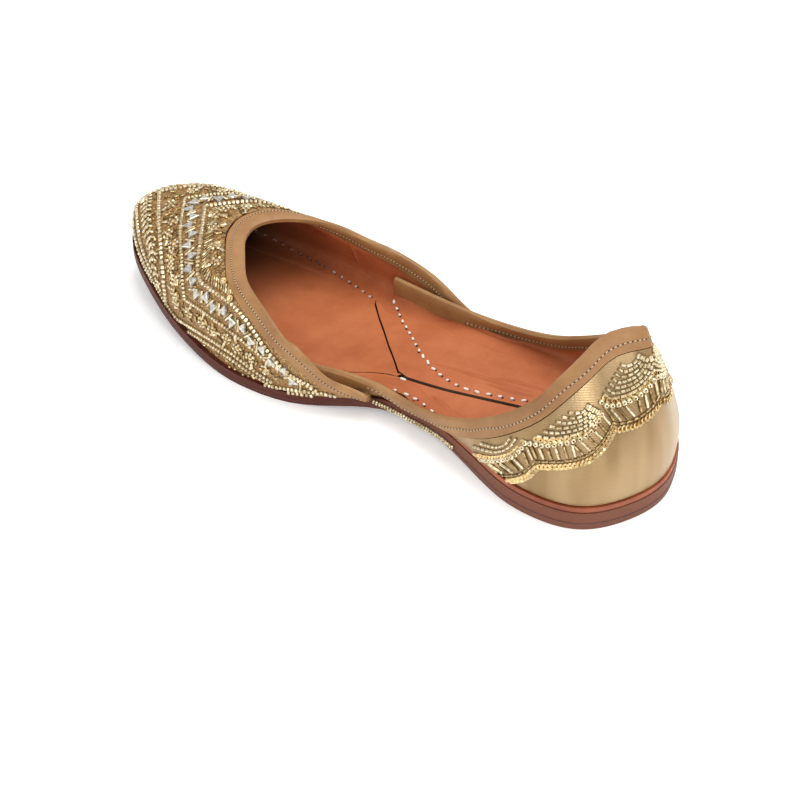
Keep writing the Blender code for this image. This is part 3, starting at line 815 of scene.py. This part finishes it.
# Dark side faces of the footbed: partly edge ink, partly painted shade in the slit.
EDGE_INK_AND_SLIT_SHADE = leather("edge_ink_and_slit_shade", srgb(66, 52, 42), srgb(96, 78, 64), 0.6)
WHITE_THREAD = thread_material("white_thread", srgb(238, 226, 214))
PALE_THREAD = thread_material("pale_thread", srgb(188, 160, 124))
# Painted shade of the binding stitches' holes.
HOLE_SHADE = thread_material("hole_shade", srgb(58, 46, 38))
# Painted shade of hand stitches inside the toe: dull, then dark.
HALF_SHADED_THREAD = thread_material("half_shaded_thread", srgb(206, 172, 156))
DEEP_SHADED_THREAD = thread_material("deep_shaded_thread", srgb(120, 78, 66))


# Lining
def first_met(trees, spot):
    """The nearest face of these trees along a picture point's ray."""
    hits = [cast(tree, EYE, pixel_ray(spot)) for tree in trees]
    return min((hit for hit in hits if hit), key=lambda hit: (hit[0] - EYE).length,
               default=None)


def on_floor(spot):
    return first_met((FLOOR_TREE, TURNED_TREE), spot)


def on_lining(spot):
    return first_met((FLOOR_TREE, TURNED_TREE, LINING_TREE), spot)


def add_lining():
    """Leather inside the upper: its inner faces, moved a little into the shoe."""
    bm = bmesh.new()
    bm.from_mesh(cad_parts["upper"].data)
    bmesh.ops.remove_doubles(bm, verts=bm.verts[:], dist=WELD)
    outer = []
    for face in bm.faces:
        centre = face.calc_center_median()
        inward = Vector((0, middle_y(centre.x) - centre.y, 0))
        if centre.x < HEEL_X + HEEL_CUP:
            inward = Vector((HEEL_X + HEEL_CORE - centre.x, HEEL_Y - centre.y, 0))
        inward.normalize()
        roof = centre.x > ROOF_START and face.normal.z < -0.25
        if face.normal.dot(inward) < 0.25 and not roof:
            outer.append(face)
    bmesh.ops.delete(bm, geom=outer, context="FACES")
    inner = [vert for vert in bm.verts if not vert.is_boundary]
    bmesh.ops.smooth_vert(bm, verts=inner, factor=0.3)
    bm.normal_update()
    for vert, place in [(vert, vert.co + vert.normal * LINING_OFF) for vert in bm.verts]:
        vert.co = place
    mesh = bpy.data.meshes.new("lining")
    tree = BVHTree.FromBMesh(bm)
    bm.to_mesh(mesh)
    bm.free()
    mesh.shade_smooth()
    mesh.materials.append(LINING_LEATHER)
    add_piece("lining", mesh)
    return tree


def sole_loop(step):
    """Evenly spaced (point, inward direction) in plan, all the way round the sole."""
    loop = [*zip(SOLE_X, SOLE_LEFT), *zip(SOLE_X[::-1], SOLE_RIGHT[::-1])]
    line = resample(np.array(loop + loop[:1]), step)[:-1]
    ahead = np.roll(line, -2, axis=0) - np.roll(line, 2, axis=0)
    ahead /= np.linalg.norm(ahead, axis=1, keepdims=True)
    return [(Vector((*point, 0)), Vector((way[1], -way[0], 0)))
            for point, way in zip(line, ahead)]


def add_turned_lining():
    """The lining's foot: it comes down the wall and lies on the edge of the footbed."""
    rows, floor = [], FLOOR_FIRST
    for point, inward in sole_loop(2.0 * MM):
        above = point + inward * 0.009 + UPRIGHT * 0.06
        down = cast(FLOOR_TREE, above, -UPRIGHT)
        floor = down[0].z if down and down[0].z < 0.03 else floor
        start = point + inward * 0.017
        walls, top = [], 0.0
        for step in range(1, 13):
            high = TURN_STEP * step
            hit = cast(UPPER_TREE, Vector((start.x, start.y, floor + high)), -inward)
            if not hit or (hit[0] - start).length > 0.030:
                break
            walls.append((Vector((*hit[0][:2], 0)) - Vector((*start[:2], 0))).length)
            top = high
        reach = min(walls) if walls else 0.0145
        shrink = min(1.0, max(top, 0.001) / 0.0072)
        row = []
        for high, far in TURNED_WALL:
            rank = max(0, int(high * shrink / TURN_STEP) - 1)
            wall = min(reach + 0.0025, walls[rank]) if walls else reach
            row.append(start - inward * (wall - far) + UPRIGHT * (floor + high * shrink))
        for far, high in TURNED_FLOOR:
            row.append(start - inward * (reach - far) + UPRIGHT * (floor + high))
        rows.append(row)
    points = np.array([[corner[:] for corner in row] for row in rows])
    for _ in range(3):
        points = (np.roll(points, 1, axis=0) + points * 2 + np.roll(points, -1, axis=0)) / 4
    count, wide = points.shape[:2]
    faces = []
    for i in range(count):
        here, there = i * wide, (i + 1) % count * wide
        faces += [(here + k, here + k + 1, there + k + 1, there + k) for k in range(wide - 1)]
    corners = [Vector(corner) for corner in points.reshape(-1, 3).tolist()]
    add_sheet("turned_lining", corners, faces, LINING_LEATHER)
    return BVHTree.FromPolygons(corners, faces)


def add_folds():
    """Low folds of the lining, each a soft ridge that fades out at both ends."""
    points, faces = [], []
    shares = (-1.0, -0.6, -0.25, 0.0, 0.25, 0.6, 1.0)
    wide = len(shares)
    for line in FOLDS:
        hits = [on_lining(spot) for spot in resample(rounded(line), 2.0)]
        for part in parts_of([hit for hit in hits if hit]):
            spots = spaced(part, 1.0 * MM)
            if len(spots) < SHORTEST_FOLD:
                continue
            first = len(points)
            for i, (place, way, out) in enumerate(spots):
                swell = math.sin(math.pi * i / (len(spots) - 1))
                side = out.cross(way)
                for share in shares:
                    hump = (1 + math.cos(math.pi * share)) / 2
                    high = FOLD_HIGH * swell * hump - FOLD_SUNK
                    off = share * FOLD_WIDTH * (0.3 + 0.7 * swell)
                    points.append(place + side * off + out * high)
            for i in range(len(spots) - 1):
                here, there = first + i * wide, first + (i + 1) * wide
                faces += [(here + k, there + k, there + k + 1, here + k + 1)
                          for k in range(wide - 1)]
    add_sheet("lining_folds", points, faces, LINING_LEATHER)


def add_near_seam():
    """The near edge of the V is pasted down, so the gap under it is filled."""
    points = []
    half = Vector((0.35, 0.94, 0)) * MM
    for x, y in resample(rounded(NEAR_SEAM), 3.0):
        floor = cast(FLOOR_TREE, EYE, pixel_ray((x, y + 5)))
        ray = pixel_ray((x, y))
        middle = EYE + ray * ((floor[0].z - 0.02 * MM - EYE.z) / ray.z)
        points += [middle - half, middle + half]
    faces = [(2 * i, 2 * i + 1, 2 * i + 3, 2 * i + 2) for i in range(len(points) // 2 - 1)]
    add_sheet("near_seam", points, faces, FOOTBED_LEATHER, smooth=False)


def add_sole_lines():
    """Dark seams: between the sole's layers at the heel, and along the forefoot's edge."""
    for name, far, start, end, over in (
            ("lift_seam", 0.15 * MM, HEEL_X, LIFT_FRONT, -0.45 * MM),
            ("edge_seam", 0.12 * MM, LIFT_FRONT - 0.02, 1, 1.1 * MM)):
        points, faces = [], []
        loop = [item for item in sole_loop(1.5 * MM) if start <= item[0].x <= end]
        cut = max(range(len(loop)), key=lambda i: (loop[i][0] - loop[i - 1][0]).length)
        loop = loop[cut:] + loop[:cut]
        for point, inward in loop:
            under = point + inward * 0.0015 - UPRIGHT * 0.01
            hit = OUTSOLE_TREE.ray_cast(under, UPRIGHT)
            low = (hit[0].z if hit[0] else 0.003) + over
            for high, push in ((0.0, 0.0), (0.05, far), (0.50, far), (0.55, 0.0)):
                points.append(point - inward * (push - 0.04 * MM) + UPRIGHT * (low + high * MM))
        for i in range(len(loop) - 1):
            faces += [(4 * i + k, 4 * i + k + 1, 4 * i + k + 5, 4 * i + k + 4)
                      for k in range(3)]
        add_sheet(name, points, faces, SEAM_WAX_AND_HOLE_SHADE)


# Floor, light
def add_stage():
    mesh = bpy.data.meshes.new("floor")
    corners = [(-3, -3, 0), (3, -3, 0), (3, 3, 0), (-3, 3, 0)]
    mesh.from_pydata(corners, [], [(0, 1, 2, 3)])
    floor = bpy.data.objects.new("floor", mesh)
    bpy.context.scene.collection.objects.link(floor)
    material, _, shader = new_material("floor")
    fill(shader, {"Base Color": (0.93, 0.93, 0.93, 1), "Roughness": 0.9,
                  "Specular IOR Level": 0.0, "Emission Color": (1, 1, 1, 1),
                  "Emission Strength": FLOOR_GLOW})
    mesh.materials.append(material)


def add_light(name, place, size, power, colour=(1, 1, 1)):
    data = bpy.data.lights.new(name, "AREA")
    data.shape = "RECTANGLE"
    data.size, data.size_y = size
    data.energy = power
    data.color = colour
    light = bpy.data.objects.new(name, data)
    light.location = place
    back = Vector((0, 0, 0.02)) - Vector(place)
    light.rotation_euler = back.to_track_quat("-Z", "Y").to_euler()
    bpy.context.scene.collection.objects.link(light)


def add_studio():
    world = bpy.data.worlds.new("studio")
    bpy.context.scene.world = world
    world.use_nodes = True
    background = world.node_tree.nodes["Background"]
    background.inputs[0].default_value = (1.0, 1.0, 1.0, 1)
    background.inputs[1].default_value = WORLD_GLOW
    for light in LIGHTS:
        add_light(*light)
    bpy.context.scene.view_settings.view_transform = "Standard"


# Embroidery
def walk(lines, pitch, wobble):
    """Evenly spaced places on these lines, each a little uneven."""
    for hits in lines:
        for spot in spaced(hits, pitch):
            yield tossed(spot, wobble)


def seeds(lines, size=SEED, wobble=0.10):
    """Seed beads strung along a line."""
    found = []
    for place, way, out in walk(lines, size * 0.98, wobble):
        grow = size * random.uniform(0.90, 1.05)
        found.append(bead(place, way, out, grow, grow * 0.36))
    return found


def laid(lines, size, pitch, slant=0.0, lift=0.42):
    """Bugles along a line, or across it when slanted."""
    long, wide = size
    found = []
    for place, way, out in walk(lines, pitch, 0.05):
        length = long * random.uniform(0.92, 1.04)
        found.append((place + out * wide * lift, turned_by(way, out, slant), out, length, wide))
    return found


def over_waist(hits):
    """The chain of the inner waist, repeated at the same height on the outer side."""
    found = [cast(WAIST_TREE, Vector((place.x, -0.08, place.z)), Vector((0, 1, 0)))
             for place, _ in hits]
    return [hit for hit in found if hit]


def flats(lines, size, pitch):
    """Sequins that overlap like scales."""
    found = []
    for place, way, out in walk(lines, pitch, 0.1):
        tilt = (out + way * 0.35).normalized()
        turn = (way - tilt * way.dot(tilt)).normalized()
        found.append((place + out * size * 0.10, turn, tilt, size, size))
    return found


def inside(spot, corners):
    """True for a picture point within a polygon."""
    x, y = spot
    odd = False
    for (ax, ay), (bx, by) in zip(corners, corners[1:] + corners[:1]):
        if (ay > y) != (by > y) and x < (bx - ax) * (y - ay) / (by - ay) + ax:
            odd = not odd
    return odd


def bead(place, way, out, size, lift):
    """One small piece, as long as wide, this far off the fabric."""
    return place + out * lift, way, out, size, size


def with_twin(spot):
    """A picture point on the vamp, and the same place on the outer side."""
    hit = on_fabric(EYE, pixel_ray(spot))
    return [hit] + over_vamp([hit]) if hit else []


def ground_spots(corners):
    """Uneven points over a picture polygon, on the near side and mirrored."""
    xs, ys = zip(*corners)
    found = []
    for row in range(int((max(ys) - min(ys)) / GROUND_PITCH) + 1):
        for step in range(int((max(xs) - min(xs)) / GROUND_PITCH) + 1):
            across = step + 0.5 * (row % 2) + random.uniform(-0.3, 0.3)
            down = row + random.uniform(-0.3, 0.3)
            spot = (min(xs) + across * GROUND_PITCH, min(ys) + down * GROUND_PITCH)
            if not inside(spot, corners):
                continue
            hit = on_fabric(EYE, pixel_ray(spot))
            if hit and inner_side(hit[0]) and hit[1].dot(AHEAD) < -0.05:
                found += [hit] + over_vamp([hit])
    return found


def flower(hit, rows, discs, bars):
    """A sequin held by a seed, with a ring of seeds round it and one bugle for a stalk."""
    place, out = hit
    way = out.orthogonal().normalized()
    for k in range(6):
        around = turned_by(way, out, k * math.pi / 3 + random.uniform(-0.2, 0.2))
        grow = SEED * random.uniform(0.78, 0.95)
        rows.append(bead(place + around * 1.75 * MM, around, out, grow, grow * 0.36))
    discs.append(bead(place, way, out, SEQUIN * 0.9, 0.2 * MM))
    rows.append(bead(place, way, out, SEED * 0.7, 0.7 * MM))
    around = turned_by(way, out, random.uniform(0, 2 * math.pi))
    stalk = place + around * 3.6 * MM + out * 0.4 * MM
    bars.append((stalk, around, out, BUGLE[0] * 0.8, BUGLE[1]))


def vamp_embroidery():
    rows, large, fine, old, bright, dark, mirrors, discs = ([] for _ in range(8))
    for line, kind, size in (
            *((line, rows, 1.02) for line in TOE_ROWS),
            (FIRST_LINE, large, 1.2),
            (THIRD_LINE + THIRD_LEG[1:], large, 1.15),
            (SECOND_LINE + SECOND_LEG[1:], fine, 0.95),
            *((line, fine, 1.0) for line in (EDGE_LINE, *LOWER_LEGS)),
            *((line, rows, 1.08) for line in SOLE_LEGS)):
        kind += seeds(on_vamp(line), SEED * size)
    for hits in on_vamp(BARS_LINE):
        for i, item in enumerate(laid([hits], BAR, 1.38 * MM, math.radians(-50))):
            (bright if i % 4 == 0 else dark).append(item)
    for place, way, out in walk(on_vamp(LEAF_LINE), 2.7 * MM, 0.1):
        for side in (-1, 1):
            shift = out.cross(way) * side * 1.35 * MM
            turn = turned_by(way, out, side * math.radians(50))
            bright.append((place + shift + out * 0.42 * MM, turn, out, *BUGLE))
        rows.append(bead(place, way, out, SEED * 0.9, 0.5 * MM))
    for hits in on_vamp(BAND_LINE):
        for i, spot in enumerate(spaced(hits, MIRROR_PITCH)):
            place, way, out = tossed(spot, 0.06)
            sign = 1 if i % 2 else -1
            aside = place + out.cross(way) * sign * 0.75 * MM
            turn = turned_by(way, out, 0 if sign > 0 else math.pi)
            mirrors.append(bead(aside, turn, out, MIRROR, 0.25 * MM))
            slant = turned_by(way, out, math.radians(60) * sign)
            for k, kind in ((-0.62, dark), (0.62, bright)):
                middle = place + way * (2.55 + k) * MM + out * 0.45 * MM
                kind.append((middle, slant, out, *LONG_BUGLE))
    for spot in SCATTER:
        for hit in with_twin(spot):
            flower(hit, rows, discs, bright)
    for spot in SEQUINS:
        for place, out in with_twin(spot):
            way = out.orthogonal().normalized()
            discs.append(bead(place, way, out, SEQUIN * 1.2, 0.3 * MM))
            rows.append(bead(place, way, out, SEED * 0.7, 0.9 * MM))
    for corners in (MIDDLE_GROUND, LOWER_GROUND, TOE_GROUND, THROAT_GROUND):
        for place, out in ground_spots(corners):
            way = turned_by(out.orthogonal().normalized(), out, random.uniform(0, math.pi))
            kind = random.random()
            if kind < 0.45:
                long = BUGLE[0] * random.uniform(0.6, 0.9)
                dark.append((place + out * 0.4 * MM, way, out, long, BUGLE[1] * 0.9))
            else:
                grow = SEED * random.uniform(0.6, 0.85)
                (old if kind < 0.85 else fine).append(bead(place, way, out, grow, grow * 0.3))
    strew("vamp_seed_rows", SEED_SHAPE, rows, PALE_GOLD)
    strew("vamp_large_seeds", SEED_SHAPE, large, PALE_GOLD)
    strew("vamp_fine_seeds", SEED_SHAPE, fine, PALE_GOLD)
    strew("vamp_ground_seeds", SEED_SHAPE, old, OLD_GOLD)
    strew("vamp_bright_bugles", BUGLE_SHAPE, bright, PALE_GOLD)
    strew("vamp_dark_bugles", BUGLE_SHAPE, dark, BRONZE)
    strew("vamp_mirrors", MIRROR_SHAPE, mirrors, SILVER, smooth=False)
    strew("vamp_sequins", SEQUIN_SHAPE, discs, DEEP_GOLD)


def between(low, high, share, step=3):
    """The line at a share of the way from one picture line to another."""
    count = 1 + max(len(resample(low, step)), len(resample(high, step)))

    def even(line):
        line = resample(rounded(line), 1.0)
        return line[np.linspace(0, len(line) - 1, count).round().astype(int)]

    return even(low) + (even(high) - even(low)) * share


def shrunk(ring, top, share):
    """A scallop's arc, drawn in towards the top of its fan."""
    return [(top[0] + (x - top[0]) * share, top[1] + (y - top[1]) * share) for x, y in ring]


def quarter_embroidery():
    rings, sequins, short, chain, bars, pale_bars, hems, threads_and_shade = ([] for _ in range(8))
    for ring, hem, top, shares in zip(RINGS, HEMS, FAN_TOPS, FAN_SHARES):
        for hits in on_quarter(ring):
            for place, way, out in spaced(hits, RING * 1.02):
                rings.append(bead(place, way, out, RING, 0.15 * MM))
        hems += flats(on_quarter(hem), SEQUIN, SEQUIN * 0.62)
        above = shrunk(ring, top, SEQUIN_SHARE)
        sequins += flats(on_quarter(above), SEQUIN * 0.9, SEQUIN * 0.7)
        for i, share in enumerate(shares):
            lines = on_quarter(shrunk(ring, top, share))
            short += laid(lines, *FAN_BUGLES[i % 2])
            # Dark threads sunk between the bead rows: partly ground thread, partly painted shade
            # between the rows.
            threads_and_shade += laid(lines, FAN_THREADS_AND_SHADE, 2.2 * MM, lift=-0.38)
        bars += laid(on_quarter(between(hem, ring, 0.22)), HEM_BUGLE, 2.5 * MM)
        lower = on_quarter(between(hem, ring, 0.32))
        upper = on_quarter(between(hem, ring, 0.88))
        for near, far in zip(lower, upper):
            low, high = spaced(near, 2.6 * MM), spaced(far, 2.6 * MM)
            for i, (place, way, out) in enumerate(low):
                other = high[int(round(i * (len(high) - 1) / max(1, len(low) - 1)))][0]
                turn = other - place
                long = turn.length * 0.95
                turn = (turn - out * turn.dot(out)).normalized()
                middle = (place + other) / 2 + out * 0.45 * MM
                (pale_bars if i % 2 else bars).append((middle, turn, out, long, 1.05 * MM))
    for shift in (-0.9, 1.0):
        line = [(x, y + shift) for x, y in WAIST_CHAIN]
        hits = [cast(WAIST_TREE, EYE, pixel_ray(spot)) for spot in resample(rounded(line), 1.2)]
        hits = [hit for hit in hits if hit]
        chain += seeds([hits, over_waist(hits)], CHAIN_SEED, wobble=0.2)
    strew("quarter_fan_threads_and_shade", BUGLE_SHAPE, threads_and_shade, FAN_THREAD_AND_SHADE)
    strew("quarter_ring_beads", RING_SHAPE, rings, PALE_GOLD)
    strew("quarter_sequins", SEQUIN_SHAPE, sequins, DEEP_GOLD)
    strew("quarter_hem_sequins", SEQUIN_SHAPE, hems, DEEP_GOLD)
    strew("quarter_short_bugles", BUGLE_SHAPE, short, PALE_GOLD)
    strew("quarter_seeds", SEED_SHAPE, chain, PALE_GOLD)
    strew("quarter_pale_bugles", BUGLE_SHAPE, pale_bars, PALE_GOLD)
    strew("quarter_bugles", BUGLE_SHAPE, bars, BRONZE)


def stitching():
    """Seams of the bindings, and the hand stitches of the lining with their holes; the dark marks
    at the holes are painted shade.
    """
    dark, pale, white, half_shaded, deep_shaded, holes = ([] for _ in range(6))
    toe_core = Vector((0.008, 0, 0))
    for tree, core, turns, below, pitch in (
            (QUARTER_BINDING_TREE, Vector((-0.055, HEEL_Y, 0)), np.arange(32, 328, 2.0),
             QUARTER_SEAM, 1.65 * MM),
            (VAMP_BINDING_TREE, toe_core, np.arange(-128, 128.1, 2.0), VAMP_SEAM, 1.35 * MM)):
        for inward in (False, True):
            for hits in edge_line(tree, core, np.radians(turns), below, inward):
                for place, way, out in spaced(hits, pitch):
                    thread = place + out * 0.04 * MM
                    # Each pale stitch is followed by a dark dash at its hole: painted shade of the
                    # hole.
                    hole = place + way * pitch * 0.5 - out * 0.02 * MM
                    pale.append((thread, way, out, pitch * 0.60, SEAM_WIDE))
                    dark.append((hole, way, out, pitch * 0.44, SEAM_WIDE))
    for line in FLOOR_STITCHES:
        hits = [on_floor(spot) for spot in resample(rounded(line), 1.5)]
        for spot in spaced([hit for hit in hits if hit], STITCH_PITCH):
            place, way, out = tossed(spot, 0.34)
            long = random.uniform(1.2, 2.2) * MM
            # Painted shade: stitches further towards the toe, under the vamp, take duller, then
            # darker thread.
            kind = white
            if place.x >= STITCH_SHADE_FROM[0]:
                kind = half_shaded if place.x < STITCH_SHADE_FROM[1] else deep_shaded
            kind.append((place + out * 0.25 * MM, way, out, long, 1.0 * MM))
            # A dark dot at the stitch's hole: painted shade of the hole.
            hole = place + way * long * 0.55 + out * 0.02 * MM
            holes.append((hole, way, out, 0.9 * MM, 0.8 * MM))
    place, out = cast(tree_of("flap_left"), EYE, pixel_ray(APEX_STITCH))
    way = Vector((1, 0.2, 0)).normalized()
    white.append((place + out * 0.2 * MM, way, out, 2.4 * MM, 1.0 * MM))
    strew("binding_holes", STITCH_SHAPE, dark, HOLE_SHADE)
    strew("binding_stitches", STITCH_SHAPE, pale, PALE_THREAD)
    strew("hand_stitches", STITCH_SHAPE, white, WHITE_THREAD)
    strew("half_shaded_stitches", STITCH_SHAPE, half_shaded, HALF_SHADED_THREAD)
    strew("deep_shaded_stitches", STITCH_SHAPE, deep_shaded, DEEP_SHADED_THREAD)
    strew("stitch_holes", STITCH_SHAPE, holes, SEAM_WAX_AND_HOLE_SHADE)


add_camera()
dress_nodes()
LINING_TREE = add_lining()
TURNED_TREE = add_turned_lining()
add_folds()
add_near_seam()
add_sole_lines()
vamp_embroidery()
quarter_embroidery()
stitching()
add_stage()
add_studio()
